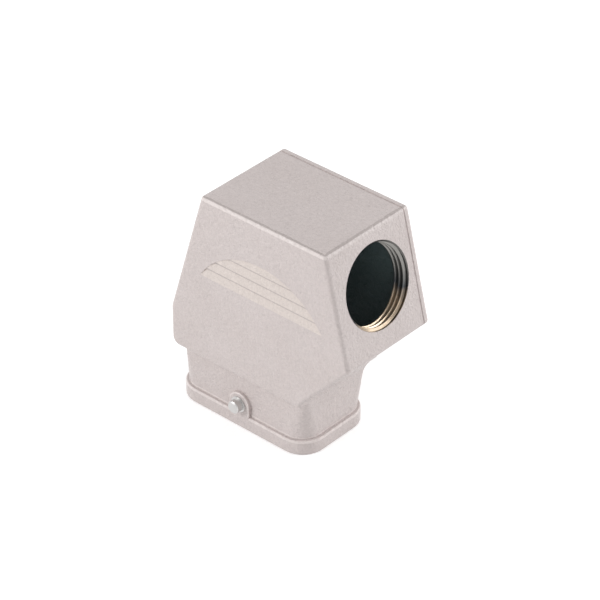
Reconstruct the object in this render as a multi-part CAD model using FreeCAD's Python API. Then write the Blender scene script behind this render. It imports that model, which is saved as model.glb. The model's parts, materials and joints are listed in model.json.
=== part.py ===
import FreeCAD, Part
import math
import os

# Angled side-entry hood of a shielded rectangular connector, in millimetres.
# The origin is the middle of the open mating face. +Z is up and the cable leaves towards +X.

# Rim band round the mating face
rim_length = 49.75
rim_width = 28.5
rim_corner = 7.6
rim_height = 4.7
rim_edge = 0.45

# Neck between the rim band and the body
neck_inset = 1.05
neck_top_corner = 1.5
neck_end_x = -22.2
neck_cove = 2.6
cove_turns = (20, 40, 60, 80)
cove_meets_body = 70
neck_levels = 6

# Body outline, seen from the side
body_width = 34.2
body_bottom = 19.8
end_wall_x = -22.9
end_wall_top = 32.8
top_height = 74.1
top_start_x = -10.45
top_end_x = 34.25
entry_foot_x = 42.65
entry_foot_height = 40.05
sweep_start = 15.02
underside_radius = 12.0
toe_radius = 2.6
body_edge = 1.2

# Fine parting line of the casting, round the body near its rear side
parting_inset = 2.3
parting_width = 0.6
parting_depth = 0.2

# Walls of the casting
wall = 2.6
rim_wall = 2.4

# Threaded cable entry, cut at the thread's outer radius
entry_radius = 12.5
entry_drop = 16.45
entry_chamfer = 0.1
entry_ring_wall = 2.6
entry_ring_length = 5.2

# Seat for the contact insert, with four corner posts and their tapped holes
seat_depth = 5.0
post_spacing_x = 34.0
post_spacing_y = 15.0
post_radius = 3.2
post_height = 10.0
post_hole_radius = 1.25
post_hole_depth = 8.0

# Locking pegs, pressed into arched bosses at mid-length
peg_height = 7.95
boss_radius = 3.7
boss_edge = 0.3
boss_foot = 1.0
peg_shank_radius = 1.6
peg_press_clearance = 0.0
peg_collar_radius = 2.5
peg_collar_thickness = 0.35
peg_radius = 1.95
peg_reach = 2.6
peg_end_edge = 0.3

# Stepped finger grip in both long faces
grip_centre_x = 11.1
grip_centre_height = 34.6
grip_radius = 26.1
grip_foot = 48.35
grip_pitch = 3.3
grip_steps = 4
grip_depth = 0.55

# How far a cut or a join runs past the surface it meets, and how near two places count as one
overrun = 1.0
same_place = 0.001

# Way that an offset outline keeps its corners sharp
sharp_corners = 2

# Places worked out from the sizes above
rim_x = rim_length / 2
rim_y = rim_width / 2
neck_x = rim_x - neck_inset
neck_y = rim_y - neck_inset
neck_corner = rim_corner - neck_inset
cove_start = body_bottom - neck_cove * math.sin(math.radians(cove_meets_body))
body_y = body_width / 2
hollow_x = neck_x - wall
hollow_y = neck_y - wall
hollow_corner = neck_corner - wall


def vec(x, y, z):
    return FreeCAD.Vector(x, y, z)


def line(a, b):
    return Part.LineSegment(a, b).toShape()


def arc(a, middle, b):
    return Part.Arc(a, middle, b).toShape()


def rounded_outline(x_low, x_high, half_y, corner, z):
    """Closed rectangle with round corners, at one height."""
    centres = (
        (x_high - corner, corner - half_y, -90),
        (x_high - corner, half_y - corner, 0),
        (x_low + corner, half_y - corner, 90),
        (x_low + corner, corner - half_y, 180),
    )
    bends = []
    for x, y, start in centres:
        turns = [math.radians(start + step) for step in (0, 45, 90)]
        bends.append([vec(x + corner * math.cos(t), y + corner * math.sin(t), z) for t in turns])
    edges = []
    for bend, following in zip(bends, bends[1:] + bends[:1]):
        edges.append(arc(*bend))
        edges.append(line(bend[2], following[0]))
    return Part.Wire(edges)


def upright(x_low, x_high, half_y, corner, z_low, z_high):
    """Upright block with round corners."""
    outline = rounded_outline(x_low, x_high, half_y, corner, z_low)
    return Part.Face(outline).extrude(vec(0, 0, z_high - z_low))


def across(outline, half_y):
    """Side outline drawn at y = 0 and made solid from -half_y to +half_y."""
    shape = Part.Face(outline).extrude(vec(0, 2 * half_y, 0))
    shape.translate(vec(0, -half_y, 0))
    return shape


def cylinder(radius, start, direction, length):
    return Part.makeCylinder(radius, length, start, direction)


def edges_in_plane(shape, axis, place):
    """Edges that lie wholly in one plane across the named axis."""
    found = []
    for edge in shape.Edges:
        low = getattr(edge.BoundBox, axis + "Min")
        high = getattr(edge.BoundBox, axis + "Max")
        if abs(low - place) < same_place and abs(high - place) < same_place:
            found.append(edge)
    return found


def underside_slope():
    """Angle of the straight underside, which runs from the entry's foot and touches the sweep's circle."""
    run = entry_foot_x - neck_x - underside_radius
    rise = entry_foot_height - sweep_start
    return math.acos(underside_radius / math.hypot(run, rise)) - math.atan2(run, rise)


def underside_points():
    """Arc from the body's bottom up to where it touches the straight underside."""
    centre_x = neck_x + underside_radius
    first = math.asin((body_bottom - sweep_start) / underside_radius)
    last = math.pi / 2 - underside_slope()
    return [
        vec(centre_x - underside_radius * math.cos(t), 0, sweep_start + underside_radius * math.sin(t))
        for t in (first, (first + last) / 2, last)
    ]


def underside_reach(z):
    """How far the neck's +X end has swept out at a height."""
    rise = max(0.0, z - sweep_start)
    return neck_x + underside_radius - math.sqrt(underside_radius ** 2 - rise ** 2)


def body_corners():
    """Foot and brow of the sloping entry face, and the far end of the top."""
    foot = vec(entry_foot_x, 0, entry_foot_height)
    brow = vec(top_end_x, 0, top_height)
    crown = vec(top_start_x, 0, top_height)
    return foot, brow, crown


def body_outline():
    """Side outline of the body, with its rounded toe and swept underside."""
    heel, sweep, join = underside_points()
    toe_x = end_wall_x + toe_radius
    toe_z = body_bottom + toe_radius
    near = toe_radius * math.sqrt(0.5)
    foot, brow, crown = body_corners()
    shoulder = vec(end_wall_x, 0, end_wall_top)
    toe_high = vec(end_wall_x, 0, toe_z)
    toe_middle = vec(toe_x - near, 0, toe_z - near)
    toe_low = vec(toe_x, 0, body_bottom)
    edges = [
        line(toe_low, heel),
        arc(heel, sweep, join),
        line(join, foot),
        line(foot, brow),
        line(brow, crown),
        line(crown, shoulder),
        line(shoulder, toe_high),
        arc(toe_high, toe_middle, toe_low),
    ]
    return Part.Wire(edges)


def corner_edges(block):
    """Edges along Y at the foot, the brow and the crown."""
    found = []
    for corner in body_corners():
        for edge in edges_in_plane(block, "X", corner.x):
            if abs(edge.BoundBox.ZMin - corner.z) < same_place:
                found.append(edge)
    return found


def body_solid():
    """Body with its outer edges rounded."""
    block = across(body_outline(), body_y)
    edges = edges_in_plane(block, "Y", -body_y) + edges_in_plane(block, "Y", body_y)
    return block.makeFillet(body_edge, edges + corner_edges(block))


def parting_line():
    """Thin ring cut round the body above its toe, where the two halves of the die meet."""
    start = body_y - parting_inset - parting_width / 2
    block = across(body_outline(), body_y)
    rounded = block.makeFillet(body_edge, corner_edges(block))
    core = rounded.makeOffsetShape(-parting_depth, same_place)
    low = body_bottom + toe_radius
    length = entry_foot_x - end_wall_x + 2 * overrun
    height = top_height - low + overrun
    slab = Part.makeBox(length, parting_width, height, vec(end_wall_x - overrun, start, low))
    return slab.cut(core)


def neck_section(z):
    """Neck outline at a height: its corners tighten upwards, it sweeps out at +X and coves out at its sides."""
    share = (z - rim_height) / (body_bottom - rim_height)
    low = -neck_x + share * (neck_x + neck_end_x)
    corner = neck_corner + share * (neck_top_corner - neck_corner)
    rise = max(0.0, z - cove_start)
    half_y = neck_y + neck_cove - math.sqrt(neck_cove ** 2 - rise ** 2)
    return low, underside_reach(z), half_y, corner, z


def neck_solid():
    """Neck with its flare, and the root that runs up into the end wall."""
    bottom = rim_height - overrun
    step = (cove_start - bottom) / neck_levels
    levels = [bottom + step * count for count in range(neck_levels + 1)]
    levels += [cove_start + neck_cove * math.sin(math.radians(turn)) for turn in cove_turns]
    flare = Part.makeLoft([rounded_outline(*neck_section(z)) for z in levels], True, False)
    low, high, half_y, corner, top = neck_section(levels[-1])
    root = upright(low, high, half_y, corner, top, body_bottom + toe_radius)
    return flare.fuse(root)


def rim_solid():
    """Rim band with rounded outer edges."""
    band = upright(-rim_x, rim_x, rim_y, rim_corner, 0, rim_height)
    edges = edges_in_plane(band, "Z", 0) + edges_in_plane(band, "Z", rim_height)
    return band.makeFillet(rim_edge, edges)


def boss_solid(side):
    """Arched boss under a locking peg, level with the rim band."""
    base = side * (neck_y - overrun)
    left = vec(-boss_radius, base, boss_foot)
    right = vec(boss_radius, base, boss_foot)
    high_left = vec(-boss_radius, base, peg_height)
    high_right = vec(boss_radius, base, peg_height)
    crest = vec(0, base, peg_height + boss_radius)
    arch = arc(high_right, crest, high_left)
    outline = Part.Wire([line(left, right), line(right, high_right), arch, line(high_left, left)])
    boss = Part.Face(outline).extrude(vec(0, side * (rim_y - abs(base)), 0))
    front = edges_in_plane(boss, "Y", side * rim_y)
    shown = [edge for edge in front if edge.BoundBox.ZMax > boss_foot + overrun]
    return boss.makeFillet(boss_edge, shown)


def entry_frame():
    """Middle of the entry on its sloping face, and the way the cable leaves."""
    foot, brow = body_corners()[:2]
    slope = (foot - brow).normalize()
    middle = brow + slope * entry_drop
    outward = vec(-slope.z, 0, slope.x)
    return middle, outward


def entry_ring(outer):
    """Thick ring behind the sloping face that gives the thread its length."""
    middle, outward = entry_frame()
    start = middle - outward * entry_ring_length
    ring = cylinder(entry_radius + entry_ring_wall, start, outward, entry_ring_length)
    return ring.common(outer)


def entry_cut():
    """Hole for the thread, with a small lead-in at the face."""
    middle, outward = entry_frame()
    start = middle - outward * (entry_ring_length + overrun)
    hole = cylinder(entry_radius, start, outward, entry_ring_length + 2 * overrun)
    lead_start = middle - outward * entry_chamfer
    lead_end_radius = entry_radius + 2 * entry_chamfer
    lead = Part.makeCone(entry_radius, lead_end_radius, 2 * entry_chamfer, lead_start, outward)
    return hole.fuse(lead)


def body_hollow():
    """Room inside the body, one wall in from its outline."""
    outline = body_outline().makeOffset2D(-wall, sharp_corners)
    return across(outline, body_y - wall)


def corner_post(x, y):
    """Round post at a screw's place, joined square to both walls of its corner."""
    foot_z = seat_depth - overrun
    height = post_height + overrun
    end_x = math.copysign(neck_x, x)
    end_y = math.copysign(neck_y, y)
    post = cylinder(post_radius, vec(x, y, foot_z), vec(0, 0, 1), height)
    along_start = vec(min(x, end_x), y - post_radius, foot_z)
    aside_start = vec(x - post_radius, min(y, end_y), foot_z)
    along = Part.makeBox(abs(end_x - x), 2 * post_radius, height, along_start)
    aside = Part.makeBox(2 * post_radius, abs(end_y - y), height, aside_start)
    return post.fuse([along, aside])


def screw_places():
    """Middles of the four corner posts."""
    half_x, half_y = post_spacing_x / 2, post_spacing_y / 2
    return [(x, y) for x in (-half_x, half_x) for y in (-half_y, half_y)]


def neck_hollow():
    """Passage through the neck between the four corner posts."""
    top = body_bottom + wall + overrun
    passage = upright(end_wall_x + wall, hollow_x, hollow_y, hollow_corner, seat_depth - overrun, top)
    return passage.cut([corner_post(x, y) for x, y in screw_places()])


def seat_hollow():
    """Open recess in the mating face."""
    half_x, half_y = rim_x - rim_wall, rim_y - rim_wall
    return upright(-half_x, half_x, half_y, rim_corner - rim_wall, -overrun, seat_depth)


def post_holes():
    """Tapped holes for the insert's screws, cut at the core radius."""
    start_z = seat_depth - overrun
    length = post_hole_depth + overrun
    return [cylinder(post_hole_radius, vec(x, y, start_z), vec(0, 0, 1), length) for x, y in screw_places()]


def peg_hole(side):
    """Hole through a boss for the peg's shank."""
    radius = peg_shank_radius + peg_press_clearance
    start = vec(0, side * (hollow_y - overrun), peg_height)
    return cylinder(radius, start, vec(0, side, 0), rim_y - hollow_y + 2 * overrun)


def grip_cut(side):
    """Saw-tooth steps that lean into the face, kept inside a round dome."""
    face = side * body_y
    deep = side * (body_y - grip_depth)
    outside = side * (body_y + overrun)
    start_x = grip_centre_x - grip_radius - overrun
    points = [vec(start_x, outside, grip_foot)]
    for step in range(grip_steps):
        z = grip_foot + step * grip_pitch
        points.append(vec(start_x, face, z))
        points.append(vec(start_x, deep, z + grip_pitch))
    points.append(vec(start_x, outside, grip_foot + grip_steps * grip_pitch))
    points.append(points[0])
    comb = Part.Face(Part.makePolygon(points)).extrude(vec(2 * (grip_radius + overrun), 0, 0))
    dome_start = vec(grip_centre_x, side * (body_y - overrun), grip_centre_height)
    return comb.common(cylinder(grip_radius, dome_start, vec(0, side, 0), 3 * overrun))


def hood_shell():
    """One die casting: rim band, neck, body, entry ring, posts and peg bosses."""
    outer = body_solid().fuse([neck_solid(), rim_solid(), boss_solid(-1), boss_solid(1)])
    hollow = body_hollow().fuse([neck_hollow(), seat_hollow()])
    shell = outer.cut(hollow).fuse(entry_ring(outer))
    cuts = [parting_line(), entry_cut(), peg_hole(-1), peg_hole(1), grip_cut(-1), grip_cut(1)]
    return shell.cut(cuts + post_holes()).removeSplitter()


def locking_peg(side):
    """Turned pin: a shank in the boss, a collar on its face and a round head."""
    outward = vec(0, side, 0)
    shank = cylinder(peg_shank_radius, vec(0, side * hollow_y, peg_height), outward, rim_y - hollow_y)
    collar = cylinder(peg_collar_radius, vec(0, side * rim_y, peg_height), outward, peg_collar_thickness)
    head = cylinder(peg_radius, vec(0, side * rim_y, peg_height), outward, peg_reach)
    end_y = side * (rim_y + peg_reach)
    head = head.makeChamfer(peg_end_edge, edges_in_plane(head, "Y", end_y))
    return shank.fuse([collar, head]).removeSplitter()


def save(name, shape):
    solid = shape.Solids[0] if len(shape.Solids) == 1 else shape
    print(name, len(shape.Solids), "solid", round(shape.Volume, 1), "mm3", "valid", shape.isValid())
    solid.exportStep("parts/" + name + ".step")


os.makedirs("parts", exist_ok=True)
save("hood_shell", hood_shell())
save("locking_peg_front", locking_peg(-1))
save("locking_peg_rear", locking_peg(1))
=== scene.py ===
# %% [markdown]
# # An angled connector hood, dressed for its photograph
#
# The hood is one die casting with two steel pegs pressed into it. A cable gland screws into the
# round entry in its sloping face, and the open rim at the bottom closes on a mating housing.
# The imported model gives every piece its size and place. This lesson adds what a solid can't hold:
# the powder coat, the bare metal inside, the thread in the entry, and the light.

# %% Load the frame
import json
import math

import bmesh
import bpy
from mathutils import Matrix, Vector


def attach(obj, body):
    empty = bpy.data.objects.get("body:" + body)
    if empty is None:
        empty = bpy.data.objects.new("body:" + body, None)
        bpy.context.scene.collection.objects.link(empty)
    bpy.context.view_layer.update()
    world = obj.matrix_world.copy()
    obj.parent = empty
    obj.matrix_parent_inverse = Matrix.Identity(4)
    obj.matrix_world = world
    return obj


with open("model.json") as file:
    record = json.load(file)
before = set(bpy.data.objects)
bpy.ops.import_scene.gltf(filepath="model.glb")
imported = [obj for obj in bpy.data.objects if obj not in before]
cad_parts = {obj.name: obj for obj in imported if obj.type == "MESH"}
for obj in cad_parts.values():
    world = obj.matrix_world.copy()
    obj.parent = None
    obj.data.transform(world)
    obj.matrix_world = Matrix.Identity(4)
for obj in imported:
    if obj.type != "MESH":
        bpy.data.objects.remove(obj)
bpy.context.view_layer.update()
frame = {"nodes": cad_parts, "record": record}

MM = 0.001
shell = frame["nodes"]["hood_shell"]
pegs = [frame["nodes"]["locking_peg_front"], frame["nodes"]["locking_peg_rear"]]
print("pieces from the frame:", sorted(frame["nodes"]))

# %% [markdown]
# ## The camera first
#
# Every choice of colour and grain depends on how large the object stands in the picture, so the
# camera comes first. A camera can be placed by eye, but here the photograph's own edges gave its
# place: it stands 0.8 m away, to the right of the front face and a third of the way up the sky,
# with a long lens. A long lens keeps the hood's edges nearly parallel, as in a catalogue picture.

# %% Camera
CAMERA_AZIMUTH = 41.63
CAMERA_ELEVATION = 34.62
CAMERA_DISTANCE = 0.80803
CAMERA_LENS = 175.7
CAMERA_SENSOR = 36.0
CAMERA_TARGET = Vector((10.37, 0.0, 40.85)) * MM


def direction(azimuth, elevation):
    """Unit vector from the object towards a place round it. Azimuth 0 is in front, at -Y."""
    turn, rise = math.radians(azimuth), math.radians(elevation)
    flat = math.cos(rise)
    return Vector((math.sin(turn) * flat, -math.cos(turn) * flat, math.sin(rise)))


camera_data = bpy.data.cameras.new("catalogue_camera")
camera_data.lens = CAMERA_LENS
camera_data.sensor_width = CAMERA_SENSOR
camera = bpy.data.objects.new("catalogue_camera", camera_data)
bpy.context.scene.collection.objects.link(camera)
towards_camera = direction(CAMERA_AZIMUTH, CAMERA_ELEVATION)
camera.location = CAMERA_TARGET + towards_camera * CAMERA_DISTANCE
camera.rotation_euler = (-towards_camera).to_track_quat("-Z", "Y").to_euler()
bpy.context.scene.camera = camera
bpy.context.scene.view_settings.view_transform = "Standard"
print("camera at", [round(value, 3) for value in camera.location])

# %% [markdown]
# ## Two small helpers for materials
#
# Colours are picked as sRGB hex values, the way a paint chart gives them, but a shader works with
# linear light. One function turns the first into the second. The other adds one node with its
# settings and its links, so that a material reads as a list of steps.

# %% Helpers for colours and nodes


def paint_colour(hex_value):
    """Linear RGBA of an sRGB hex colour."""
    channels = [int(hex_value[i:i + 2], 16) / 255 for i in (1, 3, 5)]
    linear = [c / 12.92 if c <= 0.04045 else ((c + 0.055) / 1.055) ** 2.4 for c in channels]
    return (*linear, 1.0)


def add(tree, kind, inputs=None, **settings):
    """Adds one node: settings are its own properties, inputs are values or other nodes' outputs."""
    node = tree.nodes.new(kind)
    for name, value in settings.items():
        setattr(node, name, value)
    for socket, value in (inputs or {}).items():
        if isinstance(value, bpy.types.NodeSocket):
            tree.links.new(value, node.inputs[socket])
        else:
            node.inputs[socket].default_value = value
    return node


def new_material(name):
    """Empty node material with its output node."""
    material = bpy.data.materials.new(name)
    material.use_nodes = True
    material.node_tree.nodes.clear()
    output = add(material.node_tree, "ShaderNodeOutputMaterial")
    return material, material.node_tree, output


print("white paper is", [round(c, 3) for c in paint_colour("#F4F4F4")[:3]])

# %% [markdown]
# ## Where the powder coat ends
#
# The hood is coated outside and bare inside, because the bare metal has to touch the cable's
# screen. The solid is one piece with one material, so the material itself must know which side
# it is on. The walls are 2.6 mm thick. A rule that says "more than half a wall below the outer
# surface" can be off by a whole millimetre and still never be wrong. The body is a set of flat
# faces, so its rule is the largest of a few distances to planes. The neck and the rim are
# rectangles with round corners, and their rule is a distance to such a rectangle.

# %% Sizes of the casting, in millimetres
HALF_WALL = 1.3
BODY_HALF_WIDTH = 17.1
BODY_BOTTOM = 19.8
END_WALL_X = -22.9
SHOULDER_HEIGHT = 32.8
TOP_HEIGHT = 74.1
TOP_START_X = -10.45
ENTRY_FOOT = (42.65, 40.05)
UNDERSIDE_ANGLE = 47.2
RIM_HALF_SIZE = (24.875, 14.25)
RIM_CORNER = 7.6
RIM_HEIGHT = 4.7
NECK_INSET = 1.05
NECK_END_INSIDE = -21.2
SEAT_DEPTH = 5.0
PEG_HEIGHT = 7.95
BOSS_RADIUS = 3.7
EDGE_WIDTH = 0.75
GRIP_CENTRE = (11.1, 34.6)
GRIP_RADIUS = 26.1
GRIP_FOOT = 48.35
GRIP_PITCH = 3.3
GRIP_STEPS = 4
GRIP_DEPTH = 0.55
GRIP_CREASE = 0.75
GRIP_MARGIN = 0.05
GRIP_SKIN = 0.01
SKIN = 0.02
BOSS_FACE_REACH = 0.5
LIGHT_LINE_START = 0.4
ARCH_EDGE_SHARE = 0.6
FAR_AWAY = 1000.0

entry_mount = next(m for m in frame["record"]["mounts"] if m["name"] == "cable_entry")
ENTRY_AXIS = Vector(entry_mount["axis"]).normalized()
ENTRY_RADIUS = entry_mount["dims"]["r_mm"]
ENTRY_WALL = entry_mount["dims"]["length_mm"]
ENTRY_WALL_MIDDLE = Vector(entry_mount["pos_m"]) / MM
ENTRY_CHAMFER = 0.1
ENTRY_FACE_MIDDLE = ENTRY_WALL_MIDDLE + ENTRY_AXIS * (ENTRY_WALL / 2 + ENTRY_CHAMFER)
print("entry face middle", [round(value, 2) for value in ENTRY_FACE_MIDDLE])

# %% Rules that tell the inside from the outside


def body_planes():
    """Outward normal and a point of each flat face of the body's side outline."""
    slope = Vector((TOP_START_X - END_WALL_X, 0, TOP_HEIGHT - SHOULDER_HEIGHT)).normalized()
    under = math.radians(UNDERSIDE_ANGLE)
    return [
        (Vector((-1, 0, 0)), Vector((END_WALL_X, 0, 0))),
        (Vector((-slope.z, 0, slope.x)), Vector((END_WALL_X, 0, SHOULDER_HEIGHT))),
        (Vector((0, 0, 1)), Vector((0, 0, TOP_HEIGHT))),
        (ENTRY_AXIS, ENTRY_FACE_MIDDLE),
        (Vector((math.sin(under), 0, -math.cos(under))), Vector((ENTRY_FOOT[0], 0, ENTRY_FOOT[1]))),
        (Vector((0, 0, -1)), Vector((0, 0, BODY_BOTTOM))),
    ]


def largest(tree, values):
    """Largest of several values."""
    result = values[0]
    for value in values[1:]:
        result = add(tree, "ShaderNodeMath", {0: result, 1: value}, operation="MAXIMUM").outputs[0]
    return result


def below(tree, value, limit):
    """1 where the value is under the limit, else 0."""
    return add(tree, "ShaderNodeMath", {0: value, 1: limit}, operation="LESS_THAN").outputs[0]


def above(tree, value, limit):
    """1 where the value is over the limit, else 0."""
    return add(tree, "ShaderNodeMath", {0: value, 1: limit}, operation="GREATER_THAN").outputs[0]


def both(tree, first, second):
    """1 where both are 1."""
    return add(tree, "ShaderNodeMath", {0: first, 1: second}, operation="MULTIPLY").outputs[0]


def between(tree, value, low, high):
    """1 where the value lies between two limits."""
    return both(tree, above(tree, value, low), below(tree, value, high))


def minus(tree, first, second):
    """Difference of two numbers."""
    return add(tree, "ShaderNodeMath", {0: first, 1: second}, operation="SUBTRACT").outputs[0]


def length(tree, vector):
    """Length of a vector."""
    return add(tree, "ShaderNodeVectorMath", {0: vector}, operation="LENGTH").outputs["Value"]


def along_axis(tree, vector, axis):
    """How far a vector reaches along an axis."""
    return add(tree, "ShaderNodeVectorMath", {0: vector, 1: axis}, operation="DOT_PRODUCT").outputs["Value"]


def scaled(tree, vector, factor):
    """Vector or colour times a number."""
    return add(tree, "ShaderNodeVectorMath", {0: vector, "Scale": factor}, operation="SCALE").outputs[0]


def split(tree, point):
    """X, distance from the middle plane, and Z of a point."""
    parts = add(tree, "ShaderNodeSeparateXYZ", {0: point})
    across = add(tree, "ShaderNodeMath", {0: parts.outputs["Y"]}, operation="ABSOLUTE").outputs[0]
    return parts.outputs["X"], across, parts.outputs["Z"]


def inside_body(tree, point, across):
    """1 on the body's inner walls."""
    depths = []
    for normal, start in body_planes():
        depths.append(minus(tree, along_axis(tree, point, normal), normal.dot(start)))
    depths.append(minus(tree, across, BODY_HALF_WIDTH))
    return below(tree, largest(tree, depths), -HALF_WALL)


def inside_rounded(tree, point, half_size, corner, height):
    """1 within an upright rectangle with round corners, half a wall in, up to a height."""
    straight = [half_size[i] - corner for i in (0, 1)]
    spread = add(tree, "ShaderNodeVectorMath", {0: point}, operation="ABSOLUTE").outputs[0]
    beyond = add(tree, "ShaderNodeVectorMath", {0: spread, 1: (*straight, FAR_AWAY)}, operation="SUBTRACT")
    corner_part = add(tree, "ShaderNodeVectorMath", {0: beyond.outputs[0], 1: (0, 0, 0)}, operation="MAXIMUM")
    reach = length(tree, corner_part.outputs[0])
    upright = add(tree, "ShaderNodeSeparateXYZ", {0: point}).outputs["Z"]
    return both(tree, below(tree, reach, corner - HALF_WALL), below(tree, upright, height))


def inside_mask(tree, point):
    """1 on every inner wall of the casting."""
    x, across = split(tree, point)[:2]
    neck_half = [value - NECK_INSET for value in RIM_HALF_SIZE]
    neck = inside_rounded(tree, point, neck_half, RIM_CORNER - NECK_INSET, BODY_BOTTOM + 2 * HALF_WALL)
    return largest(tree, [
        inside_body(tree, point, across),
        both(tree, neck, above(tree, x, NECK_END_INSIDE)),
        inside_rounded(tree, point, RIM_HALF_SIZE, RIM_CORNER, SEAT_DEPTH + HALF_WALL),
    ])


print("the body's side outline has", len(body_planes()), "flat faces")

# %% [markdown]
# ## The casting's finish
#
# Outside is a polyester powder coat, sprayed dry and baked, in a light warm grey. Baked powder
# never flows quite flat: it leaves a skin like orange peel, with dimples about a millimetre
# apart, and a satin gloss that breaks up over them. Two noises give that skin, one for the
# dimples and a finer one for the grain. Their sizes are real millimetres, so the skin has the
# same scale on every face. Light and shade are painted into the coat too: painted highlights on
# the edges of the rim, the bosses and the top, a band of painted shade inside two edges of the
# top, painted light on the finger grip's steps and painted shade under each step. Thin strips of
# another tint give all of that, each placed by a rule on distance.
#
# Inside, the casting is bare and passivated; its dark grey is partly the metal's own tone and
# partly painted shade for the deep hollow. The machined entry has a yellow cast of its own; over
# it, grey higher up and light yellow low down are painted reflection, and the darker first turn of
# the thread is painted shade. These tones of the entry are fitted to the photo.

# %% Powder coat and bare metal
COAT_COLOUR = "#D3C9C7"
COAT_SHADE = "#CBC0BD"
MOTTLE_SPREAD = 0.16
MOTTLE_WIDTH = 0.8
# Painted light on the finger grip's upward-facing steps, and painted shade under each step.
GRIP_PAINTED_LIGHT = "#DACFC9"
GRIP_PAINTED_SHADE = "#C0B6B2"
# Painted highlight on the rounded edges of the top, the rim and the bosses.
PAINTED_HIGHLIGHT_COLOUR = "#E2D8D5"
CORNER_TOP = 0.25
CORNER_FOOT = 1.1
CORNER_REACH = 0.8
BROW_SHARE = 0.35
# Painted shade in a band inside the top's front edge and the edge over the entry.
TOP_PAINTED_SHADE = "#BBB1AE"
SHADE_BAND_WIDTH = 1.1
SHADE_BAND_WANDER = 0.5
SHADE_BAND_WANDER_WIDTH = 1.4
FLAT_MARGIN = 0.2
PEEL_WIDTH = 1.2
PEEL_HEIGHT = 0.42
GRAIN_WIDTH = 0.45
GRAIN_SHARE = 0.3
CLOUD_WIDTH = 14.0
COAT_ROUGHNESS = (0.20, 0.40)
BARE_ROUGHNESS = 0.36
# Dark grey inside: the bare metal's tone, darkened partly as painted shade of the hollow.
INSIDE_METAL_AND_SHADE = "#738486"
# Grey high up and light yellow low down in the bore: painted reflection over the metal's yellow cast.
REFLECTION_AND_PASSIVATION_COLOURS = (
    (0.28, "#94928E"), (0.50, "#626469"), (0.65, "#E6CDB2"), (0.78, "#E8D2B8"), (0.90, "#8A7B6B"))
REFLECTION_TOP = 1.0
REFLECTION_FOOT = -12.5
REFLECTION_HEIGHT_SHARE = 0.7
PASSIVATION_CLOUD_WIDTH = 5.0
# Painted shade on the first turn of the thread.
FIRST_TURN_PAINTED_SHADE = 0.45
MOUTH_DEPTH = 1.05


def millimetre_point(tree):
    """Object coordinates in millimetres."""
    place = add(tree, "ShaderNodeTexCoord").outputs["Object"]
    return scaled(tree, place, 1 / MM)


def noise(tree, point, width, detail=2.0, roughness=0.5, distortion=0.0):
    """Soft noise with a feature width in millimetres."""
    return add(tree, "ShaderNodeTexNoise", {
        "Vector": point, "Scale": 1 / width, "Detail": detail,
        "Roughness": roughness, "Distortion": distortion,
    }).outputs["Fac"]


def mix_colour(tree, factor, first, second):
    """Mix of two colours or colour outputs."""
    node = add(tree, "ShaderNodeMix", data_type="RGBA")
    for socket, value in ((0, factor), (6, first), (7, second)):
        if isinstance(value, bpy.types.NodeSocket):
            tree.links.new(value, node.inputs[socket])
        else:
            node.inputs[socket].default_value = value
    return node.outputs[2]


def mix_value(tree, factor, first, second):
    """Mix of two numbers or number outputs."""
    return add(tree, "ShaderNodeMix", {0: factor, 2: first, 3: second}, data_type="FLOAT").outputs[0]


def bore_place(tree, point):
    """Distance from the bore's axis, and depth below the entry face."""
    offset = add(tree, "ShaderNodeVectorMath", {
        0: point, 1: ENTRY_FACE_MIDDLE,
    }, operation="SUBTRACT").outputs[0]
    along = along_axis(tree, offset, ENTRY_AXIS)
    on_axis = scaled(tree, ENTRY_AXIS, along)
    radial = add(tree, "ShaderNodeVectorMath", {0: offset, 1: on_axis}, operation="SUBTRACT").outputs[0]
    return length(tree, radial), minus(tree, 0.0, along)


def passivation_with_painted_light(tree, point):
    """Painted reflection, grey at the top of the bore and light yellow low down, and painted shade on the
    first turn.
    """
    height = add(tree, "ShaderNodeSeparateXYZ", {0: point}).outputs["Z"]
    low = add(tree, "ShaderNodeMapRange", {
        0: height, 1: ENTRY_FACE_MIDDLE.z + REFLECTION_TOP, 2: ENTRY_FACE_MIDDLE.z + REFLECTION_FOOT,
        3: 0.0, 4: 1.0,
    }).outputs[0]
    blotches = noise(tree, point, PASSIVATION_CLOUD_WIDTH, detail=3.0)
    drift = mix_value(tree, REFLECTION_HEIGHT_SHARE, blotches, low)
    ramp = add(tree, "ShaderNodeValToRGB", {0: drift})
    stops = ramp.color_ramp.elements
    ends = (REFLECTION_AND_PASSIVATION_COLOURS[0], REFLECTION_AND_PASSIVATION_COLOURS[-1])
    for stop, (place, colour) in zip(stops, ends):
        stop.position = place
        stop.color = paint_colour(colour)
    for place, colour in REFLECTION_AND_PASSIVATION_COLOURS[1:-1]:
        stops.new(place).color = paint_colour(colour)
    full = ramp.outputs["Color"]
    # The first turn is darkened as painted shade.
    shaded_first_turn = scaled(tree, full, FIRST_TURN_PAINTED_SHADE)
    first_turn = below(tree, bore_place(tree, point)[1], MOUTH_DEPTH)
    return mix_colour(tree, first_turn, full, shaded_first_turn)


def machined_mask(tree, point):
    """1 on the bore wall and its lead-in."""
    radius, depth = bore_place(tree, point)
    near_axis = below(tree, radius, ENTRY_RADIUS + ENTRY_CHAMFER - SKIN)
    return both(tree, near_axis, below(tree, depth, ENTRY_WALL + ENTRY_CHAMFER + SKIN))


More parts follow.
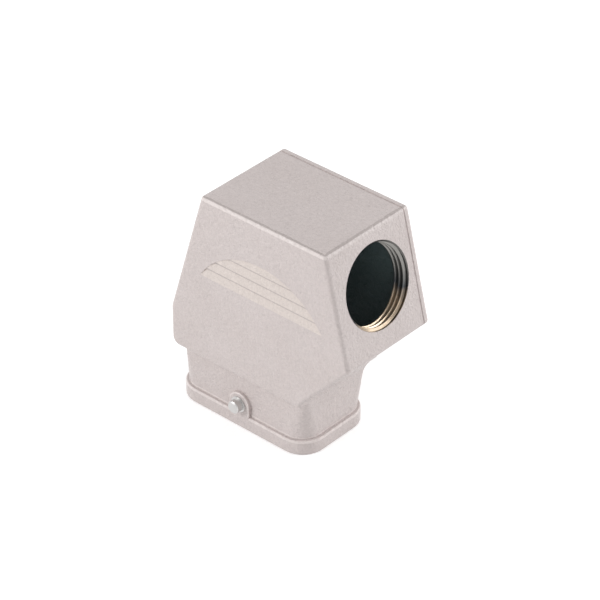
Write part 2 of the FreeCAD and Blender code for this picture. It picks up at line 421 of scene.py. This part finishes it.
def grip_light_and_shade_masks(tree, point):
    """1 on the finger grip's steps, where light is painted, and 1 at the upper end of each step, where shade
    is painted.
    """
    x, across, z = split(tree, point)
    sunk = between(tree, across, BODY_HALF_WIDTH - GRIP_DEPTH - GRIP_MARGIN, BODY_HALF_WIDTH - GRIP_SKIN)
    height = minus(tree, z, GRIP_FOOT)
    span = between(tree, height, 0.0, GRIP_PITCH * GRIP_STEPS)
    middle = Vector((GRIP_CENTRE[0], 0.0, GRIP_CENTRE[1]))
    flat = add(tree, "ShaderNodeCombineXYZ", {0: x, 2: z}).outputs[0]
    reach = add(tree, "ShaderNodeVectorMath", {0: flat, 1: middle}, operation="DISTANCE").outputs["Value"]
    steps = both(tree, both(tree, sunk, span), below(tree, reach, GRIP_RADIUS + GRIP_MARGIN))
    in_step = add(tree, "ShaderNodeMath", {0: height, 1: GRIP_PITCH}, operation="MODULO").outputs[0]
    return steps, both(tree, steps, above(tree, in_step, GRIP_PITCH - GRIP_CREASE))


def foot_highlights(tree, point):
    """Painted highlights: 1 on the rim's upper edge, on a light line over it, and round the face of each peg
    boss.
    """
    x, across, z = split(tree, point)
    aside = add(tree, "ShaderNodeMath", {0: x}, operation="ABSOLUTE").outputs[0]
    arch_rise = largest(tree, [minus(tree, z, PEG_HEIGHT), 0.0])
    arch = add(tree, "ShaderNodeCombineXYZ", {0: aside, 2: arch_rise}).outputs[0]
    reach = length(tree, arch)
    rim_edge = between(tree, z, RIM_HEIGHT - EDGE_WIDTH, RIM_HEIGHT - SKIN)
    light_line_over_rim = between(tree, z, RIM_HEIGHT + LIGHT_LINE_START * EDGE_WIDTH, RIM_HEIGHT + EDGE_WIDTH)
    beside_boss = both(tree, largest(tree, [rim_edge, light_line_over_rim]), above(tree, aside, BOSS_RADIUS))
    on_boss = both(tree, above(tree, z, RIM_HEIGHT), above(tree, across, RIM_HALF_SIZE[1] - BOSS_FACE_REACH))
    arch_inner = BOSS_RADIUS - ARCH_EDGE_SHARE * EDGE_WIDTH
    arch_edge = both(tree, between(tree, reach, arch_inner, BOSS_RADIUS - SKIN), on_boss)
    return largest(tree, [beside_boss, arch_edge])


def top_highlights_and_shade(tree, point):
    """1 on the top's rounded edges for a painted highlight, and 1 on a band of painted shade inside the front
    edge and the one over the entry.
    """
    across, z = split(tree, point)[1:]
    y = add(tree, "ShaderNodeSeparateXYZ", {0: point}).outputs["Y"]
    side = minus(tree, across, BODY_HALF_WIDTH)
    front = minus(tree, -BODY_HALF_WIDTH, y)
    entry = minus(tree, 0.0, bore_place(tree, point)[1])
    corner = between(tree, z, TOP_HEIGHT - CORNER_FOOT, TOP_HEIGHT - CORNER_TOP)
    brow = both(tree, above(tree, entry, -CORNER_REACH), BROW_SHARE)
    edges = both(tree, corner, largest(tree, [above(tree, side, -CORNER_REACH), brow]))
    wander = mix_value(tree, noise(tree, point, SHADE_BAND_WANDER_WIDTH), -SHADE_BAND_WANDER, SHADE_BAND_WANDER)
    nearest = largest(tree, [front, entry])
    outward = add(tree, "ShaderNodeMath", {0: nearest, 1: wander}, operation="ADD").outputs[0]
    shade_band = both(tree, above(tree, z, TOP_HEIGHT - FLAT_MARGIN), above(tree, outward, -SHADE_BAND_WIDTH))
    return edges, shade_band


def casting_material():
    """Powder coat outside with painted highlights, light and shade; bare metal inside, partly painted shade;
    yellow passivation on the bore with painted reflection.
    """
    material, tree, output = new_material("powder_coated_die_casting")
    point = millimetre_point(tree)
    inside = inside_mask(tree, point)
    machined = machined_mask(tree, point)
    bare = largest(tree, [inside, machined])
    cloud = noise(tree, point, CLOUD_WIDTH)
    mottle = noise(tree, point, MOTTLE_WIDTH, detail=3.0, roughness=0.7)
    coat = mix_colour(tree, cloud, paint_colour(COAT_SHADE), paint_colour(COAT_COLOUR))
    steps, painted_shade_under_steps = grip_light_and_shade_masks(tree, point)
    # Painted light on the grip's steps, then painted shade under each step.
    coat = mix_colour(tree, steps, coat, paint_colour(GRIP_PAINTED_LIGHT))
    coat = mix_colour(tree, painted_shade_under_steps, coat, paint_colour(GRIP_PAINTED_SHADE))
    edges, painted_shade_band = top_highlights_and_shade(tree, point)
    painted_highlights = largest(tree, [edges, foot_highlights(tree, point)])
    # Painted shade inside two edges of the top.
    coat = mix_colour(tree, painted_shade_band, coat, paint_colour(TOP_PAINTED_SHADE))
    # Painted highlights on the rounded edges.
    coat = mix_colour(tree, painted_highlights, coat, paint_colour(PAINTED_HIGHLIGHT_COLOUR))
    tone = mix_value(tree, mottle, 1.0 - MOTTLE_SPREAD, 1.0 + MOTTLE_SPREAD)
    coat = scaled(tree, coat, tone)
    # The inside's dark grey is partly painted shade.
    metal = mix_colour(tree, machined, paint_colour(INSIDE_METAL_AND_SHADE), passivation_with_painted_light(tree, point))
    colour = mix_colour(tree, bare, coat, metal)
    peel = noise(tree, point, PEEL_WIDTH, detail=1.0, distortion=0.8)
    grain = noise(tree, point, GRAIN_WIDTH, detail=2.0)
    roughness = mix_value(tree, bare, mix_value(tree, grain, *COAT_ROUGHNESS), BARE_ROUGHNESS)
    relief = mix_value(tree, GRAIN_SHARE, peel, grain)
    bump = add(tree, "ShaderNodeBump", {"Height": relief, "Strength": 1.0, "Distance": PEEL_HEIGHT * MM})
    surface = add(tree, "ShaderNodeBsdfPrincipled", {
        "Base Color": colour, "Metallic": machined, "Roughness": roughness, "Normal": bump.outputs[0],
    })
    tree.links.new(surface.outputs[0], output.inputs["Surface"])
    return material


casting = casting_material()
shell.data.materials[0] = casting
print("casting finish has", len(casting.node_tree.nodes), "nodes")

# %% [markdown]
# ## The thread in the entry
#
# The entry takes a gland with a 25 mm thread, 1.5 mm from crest to crest. The solid has only the
# plain hole, as wide as the thread's roots. A real thread is one ridge that winds inwards like a
# spring. So one cross-section of the ridge is drawn with four points, its two crest corners are
# eased, and a spin with a small step along the axis winds it round. The countersink at the mouth
# cuts the first turn away, and here each point of the ridge that would stand in the countersink
# is pushed out to its cone.
#
# This ridge has a known fault. A real gland thread is right-handed, and this spin winds a
# left-handed one, because it turns anticlockwise, seen from outside, while it steps inwards.

# %% Wind the ridge
THREAD_PITCH = 1.5
THREAD_DEPTH = 0.812
THREAD_START = 1.42
CREST_HALF_WIDTH = THREAD_PITCH / 8
ROOT_HALF_WIDTH = THREAD_PITCH * 7 / 16
ROOT_SINK = 0.05
CREST_EASE = 0.05
STEPS_PER_TURN = 96
MOUTH_CLEARANCE = 0.02
MERGE_DISTANCE = 0.0005


def thread_section():
    """Cross-section of the ridge in the plane of the axis, which is Z here. It starts at the mouth."""
    ridge = bmesh.new()
    crest = ENTRY_RADIUS - THREAD_DEPTH
    root = ENTRY_RADIUS + ROOT_SINK
    corners = [
        (root, -ROOT_HALF_WIDTH), (crest, -CREST_HALF_WIDTH),
        (crest, CREST_HALF_WIDTH), (root, ROOT_HALF_WIDTH),
    ]
    points = [ridge.verts.new((radius, 0, along)) for radius, along in corners]
    for first, second in zip(points, points[1:] + points[:1]):
        ridge.edges.new((first, second))
    bmesh.ops.bevel(ridge, geom=points[1:3], offset=CREST_EASE, segments=2, profile=0.5,
                    affect="VERTICES", material=-1)
    return ridge


def wind(ridge, turns):
    """Winds the section inwards from the mouth, a pitch for each turn, and closes both ends."""
    steps = round(turns * STEPS_PER_TURN)
    start_ring = list(ridge.edges)
    bmesh.ops.contextual_create(ridge, geom=start_ring)
    spun = bmesh.ops.spin(ridge, geom=start_ring, cent=(0, 0, 0), axis=(0, 0, 1),
                          dvec=(0, 0, -THREAD_PITCH / STEPS_PER_TURN), angle=math.tau * turns,
                          steps=steps, use_merge=False)
    last_ring = [item for item in spun["geom_last"] if isinstance(item, bmesh.types.BMEdge)]
    bmesh.ops.contextual_create(ridge, geom=last_ring)
    bmesh.ops.recalc_face_normals(ridge, faces=ridge.faces)


def cut_thread(ridge):
    """Trims the ridge to the wall's length and to the countersink at the mouth."""
    floor_depth = ENTRY_WALL + ENTRY_CHAMFER
    for depth, keeps_above in ((MOUTH_CLEARANCE, False), (floor_depth, True)):
        sense = -1 if keeps_above else 1
        whole = ridge.verts[:] + ridge.edges[:] + ridge.faces[:]
        cut = bmesh.ops.bisect_plane(ridge, geom=whole, plane_co=(0, 0, -depth),
                                     plane_no=(0, 0, sense), clear_outer=True)
        rim = [item for item in cut["geom_cut"] if isinstance(item, bmesh.types.BMEdge)]
        bmesh.ops.holes_fill(ridge, edges=rim)
    mouth_radius = ENTRY_RADIUS + ENTRY_CHAMFER
    for point in ridge.verts:
        radius = math.hypot(point.co.x, point.co.y)
        cone = mouth_radius + point.co.z
        if radius < cone:
            point.co.x *= cone / radius
            point.co.y *= cone / radius
    bmesh.ops.remove_doubles(ridge, verts=ridge.verts, dist=MERGE_DISTANCE)
    bmesh.ops.recalc_face_normals(ridge, faces=ridge.faces)


def finish_piece(name, mesh_source, material, body="root"):
    """Makes an object from a bmesh that is in place, in metres, and lets it ride."""
    mesh = bpy.data.meshes.new(name)
    mesh_source.to_mesh(mesh)
    mesh_source.free()
    mesh.materials.append(material)
    piece = bpy.data.objects.new(name, mesh)
    bpy.context.scene.collection.objects.link(piece)
    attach(piece, body)
    return piece


turns = (ENTRY_WALL + 2 * THREAD_PITCH) / THREAD_PITCH
ridge = thread_section()
bmesh.ops.translate(ridge, verts=ridge.verts, vec=(0, 0, THREAD_START))
wind(ridge, turns)
cut_thread(ridge)
entry_turn = ENTRY_AXIS.to_track_quat("Z", "Y").to_matrix().to_4x4()
entry_place = Matrix.Translation(ENTRY_FACE_MIDDLE * MM) @ entry_turn
bmesh.ops.transform(ridge, matrix=entry_place @ Matrix.Scale(MM, 4), verts=ridge.verts)
print("thread:", round(turns, 1), "turns wound,", len(ridge.faces), "faces left after trimming")

# %% [markdown]
# ## The thread's metal
#
# The photo shows the thread with a metal's shine and a yellow cast, as freshly cut aluminium has
# after a passivation bath. It is set mostly metallic, not fully: the part that scatters light
# keeps the valleys between the crests from going black. Fine tool marks run round the bore. They
# are rings, so their noise reads one number only, the distance along the bore's axis.

# %% Thread finish and piece
THREAD_METALLIC = 0.8
THREAD_ROUGHNESS = (0.22, 0.38)
TOOL_MARK_PITCH = 0.12
TOOL_MARK_STRENGTH = 0.2
TOOL_MARK_HEIGHT = 0.02


def thread_material():
    """Cut aluminium under yellow passivation, with painted reflection and painted shade on the first turn."""
    material, tree, output = new_material("yellow_passivated_cut_metal")
    point = millimetre_point(tree)
    along = along_axis(tree, point, ENTRY_AXIS)
    marks = add(tree, "ShaderNodeTexNoise", {
        "W": along, "Scale": 1 / TOOL_MARK_PITCH, "Detail": 2.0,
    }, noise_dimensions="1D").outputs["Fac"]
    bump = add(tree, "ShaderNodeBump", {
        "Height": marks, "Strength": TOOL_MARK_STRENGTH, "Distance": TOOL_MARK_HEIGHT * MM,
    })
    roughness = mix_value(tree, marks, *THREAD_ROUGHNESS)
    surface = add(tree, "ShaderNodeBsdfPrincipled", {
        "Base Color": passivation_with_painted_light(tree, point), "Metallic": THREAD_METALLIC,
        "Roughness": roughness, "Normal": bump.outputs[0],
    })
    tree.links.new(surface.outputs[0], output.inputs["Surface"])
    return material


thread = finish_piece("entry_thread", ridge, thread_material())
for polygon in thread.data.polygons:
    polygon.use_smooth = False
print("thread piece has", len(thread.data.polygons), "faces")

# %% [markdown]
# ## The locking pegs
#
# Each peg is turned from steel bar, pressed in, and left bare. A lathe leaves rings: circles on
# the end face, and fine grooves round the sides. Both follow from one pattern, a noise that reads
# the distance from the peg's own axis and the distance along it.

# %% Turned steel
PEG_COLOUR = "#D2D1D0"
PEG_ROUGHNESS = (0.34, 0.50)
RING_WIDTH = 0.15
RING_STRENGTH = 0.25
RING_HEIGHT = 0.03


def turned_steel():
    """Satin steel with lathe rings round an axis along Y at the pegs' height."""
    material, tree, output = new_material("turned_steel")
    point = millimetre_point(tree)
    parts = add(tree, "ShaderNodeSeparateXYZ", {0: point})
    height = minus(tree, parts.outputs["Z"], PEG_HEIGHT)
    flat = add(tree, "ShaderNodeCombineXYZ", {0: parts.outputs["X"], 1: height})
    radius = length(tree, flat.outputs[0])
    rings_at = add(tree, "ShaderNodeCombineXYZ", {0: radius, 1: parts.outputs["Y"]})
    rings = noise(tree, rings_at.outputs[0], RING_WIDTH)
    bump = add(tree, "ShaderNodeBump", {
        "Height": rings, "Strength": RING_STRENGTH, "Distance": RING_HEIGHT * MM,
    })
    surface = add(tree, "ShaderNodeBsdfPrincipled", {
        "Base Color": paint_colour(PEG_COLOUR), "Metallic": 1.0,
        "Roughness": mix_value(tree, rings, *PEG_ROUGHNESS), "Normal": bump.outputs[0],
    })
    tree.links.new(surface.outputs[0], output.inputs["Surface"])
    return material


steel = turned_steel()
for peg in pegs:
    peg.data.materials[0] = steel
print("pegs finished:", [peg.name for peg in pegs])

# %% [markdown]
# ## Floor, sky and lamps
#
# A catalogue picture is lit softly on white. Two soft lamps stand to the left and the right of the
# camera, and a sky that is even all round fills in. So faces that look straight at the camera are
# a little darker than those that look to either side, and the rounded corners show that as a soft
# dark strip. The camera sees the sky as plain white, and a reflection sees it white with a darker
# part straight above. The floor glows a little, but only for direct looks and reflections.

# %% White floor
FLOOR_SIZE = 6.0
FLOOR_COLOUR = "#F6F6F6"
FLOOR_GLOW = 0.35


def seen_directly(tree):
    """1 for rays from the camera, from a mirror or through glass."""
    path = add(tree, "ShaderNodeLightPath")
    names = ("Is Camera Ray", "Is Glossy Ray", "Is Transmission Ray")
    return largest(tree, [path.outputs[name] for name in names])


def floor_material():
    """White paper that glows a little for direct looks, and still takes a shadow."""
    material, tree, output = new_material("white_paper")
    paper = add(tree, "ShaderNodeBsdfDiffuse", {"Color": paint_colour(FLOOR_COLOUR)})
    strength = both(tree, seen_directly(tree), FLOOR_GLOW)
    glow = add(tree, "ShaderNodeEmission", {"Strength": strength})
    surface = add(tree, "ShaderNodeAddShader", {0: paper.outputs[0], 1: glow.outputs[0]})
    tree.links.new(surface.outputs[0], output.inputs["Surface"])
    return material


sheet = bmesh.new()
bmesh.ops.create_grid(sheet, x_segments=1, y_segments=1, size=FLOOR_SIZE / 2)
floor_mesh = bpy.data.meshes.new("floor")
sheet.to_mesh(floor_mesh)
sheet.free()
floor_mesh.materials.append(floor_material())
floor = bpy.data.objects.new("floor", floor_mesh)
bpy.context.scene.collection.objects.link(floor)
print("floor is", FLOOR_SIZE, "m wide")

# %% Sky
SKY_FILL = 0.73
CEILING_SHADE = 0.12
CEILING_STARTS = 0.72
CEILING_FULL = 0.93


def sky_material(tree):
    """White to the camera, white with a dark ceiling in reflections, and an even soft fill."""
    path = add(tree, "ShaderNodeLightPath")
    way = add(tree, "ShaderNodeSeparateXYZ", {0: add(tree, "ShaderNodeTexCoord").outputs["Generated"]})
    ceiling = add(tree, "ShaderNodeMapRange", {
        0: way.outputs["Z"], 1: CEILING_STARTS, 2: CEILING_FULL, 3: 1.0, 4: CEILING_SHADE,
    }, interpolation_type="SMOOTHSTEP").outputs[0]
    mirrored = largest(tree, [path.outputs["Is Glossy Ray"], path.outputs["Is Transmission Ray"]])
    strength = mix_value(tree, mirrored, SKY_FILL, ceiling)
    strength = mix_value(tree, path.outputs["Is Camera Ray"], strength, 1.0)
    light = add(tree, "ShaderNodeBackground", {"Strength": strength})
    add(tree, "ShaderNodeOutputWorld", {"Surface": light.outputs[0]})


sky = bpy.data.worlds.new("white_sky")
bpy.context.scene.world = sky
sky.use_nodes = True
sky.node_tree.nodes.clear()
sky_material(sky.node_tree)
print("sky fill is", SKY_FILL)

# %% Soft lamps
LAMP_DISTANCE = 0.9
LAMP_ELEVATION = 25.0
LAMP_SIDE = 0.5
LEFT_TURN = -75.0
LEFT_WATTS = 3.45
RIGHT_TURN = 100.0
RIGHT_WATTS = 3.6


def soft_lamp(name, turn, watts):
    """Square soft lamp that faces the object, turned round it from the camera."""
    lamp_data = bpy.data.lights.new(name, "AREA")
    lamp_data.shape = "SQUARE"
    lamp_data.size = LAMP_SIDE
    lamp_data.energy = watts
    lamp = bpy.data.objects.new(name, lamp_data)
    bpy.context.scene.collection.objects.link(lamp)
    aim = direction(CAMERA_AZIMUTH + turn, LAMP_ELEVATION)
    lamp.location = CAMERA_TARGET + aim * LAMP_DISTANCE
    lamp.rotation_euler = (-aim).to_track_quat("-Z", "Y").to_euler()
    lamp.visible_camera = False
    return lamp


soft_lamp("left_lamp", LEFT_TURN, LEFT_WATTS)
soft_lamp("right_lamp", RIGHT_TURN, RIGHT_WATTS)
